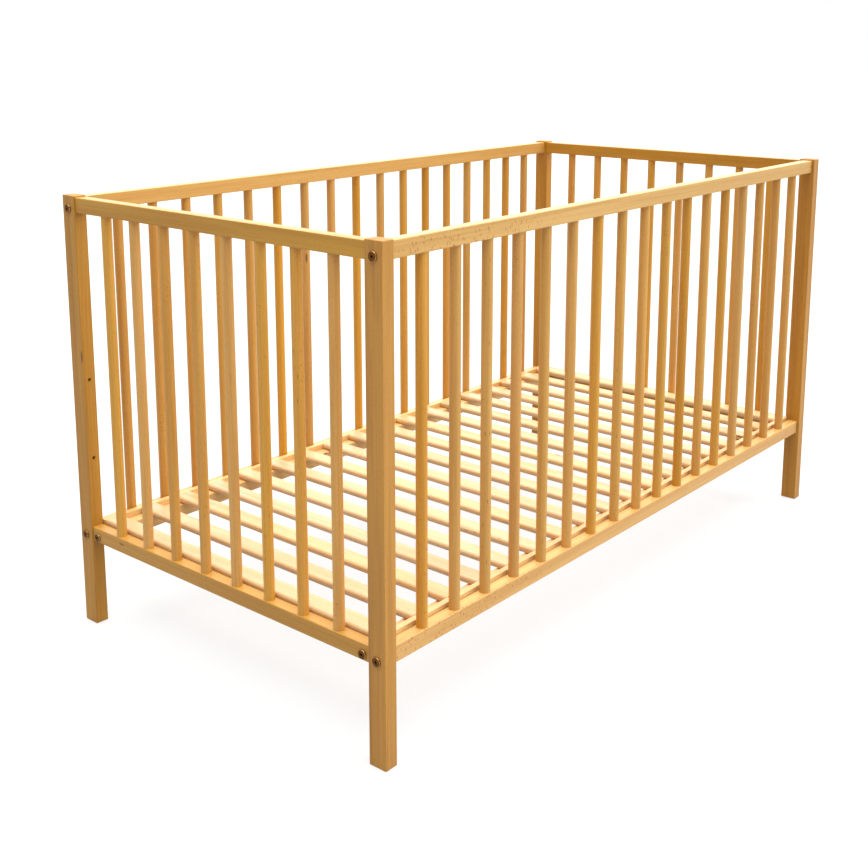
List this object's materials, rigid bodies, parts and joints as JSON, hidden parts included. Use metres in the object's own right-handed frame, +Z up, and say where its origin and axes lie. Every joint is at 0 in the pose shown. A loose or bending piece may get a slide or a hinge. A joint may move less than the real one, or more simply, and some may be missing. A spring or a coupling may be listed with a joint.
{
  "type": "baby crib",
  "caption": "Beech baby crib with rectangular legs, barred end and side panels bolted together, and a slatted base whose height can be set.",
  "frame": {"origin": "on the floor, under the middle of the crib", "axes": "+Z up, +X along the crib's length towards its right end, +Y across it towards its back side; the front is -Y"},
  "size_m": [1.456, 0.76, 0.8],
  "materials": {
    "leg_beech": "satin clear lacquer over golden beech",
    "rail_beech": "satin clear lacquer over golden beech",
    "bar_beech": "satin clear lacquer over turned beech",
    "base_beech": "thin satin lacquer over pale beech",
    "slat_beech": "thin satin lacquer over pale beech",
    "dowel_beech": "bare beech",
    "antique_brass": "antique brass plating, satin, brighter on the rims",
    "zinc_steel": "bright zinc plating"
  },
  "bodies": {
    "frame": {"front_left_leg": "leg_beech", "front_right_leg": "leg_beech", "back_left_leg": "leg_beech", "back_right_leg": "leg_beech", "front_bottom_rail": "rail_beech", "back_bottom_rail": "rail_beech", "left_bottom_rail": "rail_beech", "right_bottom_rail": "rail_beech", "front_top_rail": "rail_beech", "back_top_rail": "rail_beech", "left_top_rail": "rail_beech", "right_top_rail": "rail_beech", "front_bars": "bar_beech", "back_bars": "bar_beech", "left_bar_1": "bar_beech", "left_bar_2": "bar_beech", "left_bar_3": "bar_beech", "left_bar_4": "bar_beech", "left_bar_5": "bar_beech", "left_bar_6": "bar_beech", "left_bar_7": "bar_beech", "left_bar_8": "bar_beech", "right_bar_1": "bar_beech", "right_bar_2": "bar_beech", "right_bar_3": "bar_beech", "right_bar_4": "bar_beech", "right_bar_5": "bar_beech", "right_bar_6": "bar_beech", "right_bar_7": "bar_beech", "right_bar_8": "bar_beech", "left_panel_bolts": "antique_brass", "right_panel_bolts": "antique_brass", "left_base_bolts": "antique_brass", "right_base_bolts": "antique_brass", "side_rail_barrel_nuts": "zinc_steel", "base_barrel_nuts": "zinc_steel", "side_locating_dowels": "dowel_beech", "end_rail_dowels": "dowel_beech"},
    "base": {"base_front_rail": "base_beech", "base_back_rail": "base_beech", "slat_01": "slat_beech", "slat_02": "slat_beech", "slat_03": "slat_beech", "slat_04": "slat_beech", "slat_05": "slat_beech", "slat_06": "slat_beech", "slat_07": "slat_beech", "slat_08": "slat_beech", "slat_09": "slat_beech", "slat_10": "slat_beech", "slat_11": "slat_beech", "slat_12": "slat_beech", "slat_13": "slat_beech", "slat_14": "slat_beech", "slat_15": "slat_beech", "slat_16": "slat_beech", "slat_17": "slat_beech", "slat_18": "slat_beech", "slat_screws": "zinc_steel"}
  },
  "joints": [
    {"name": "base_height", "type": "slide", "parent": "frame", "child": "base", "axis": [0, 0, 1], "range_m": [0, 0.294]}
  ]
}
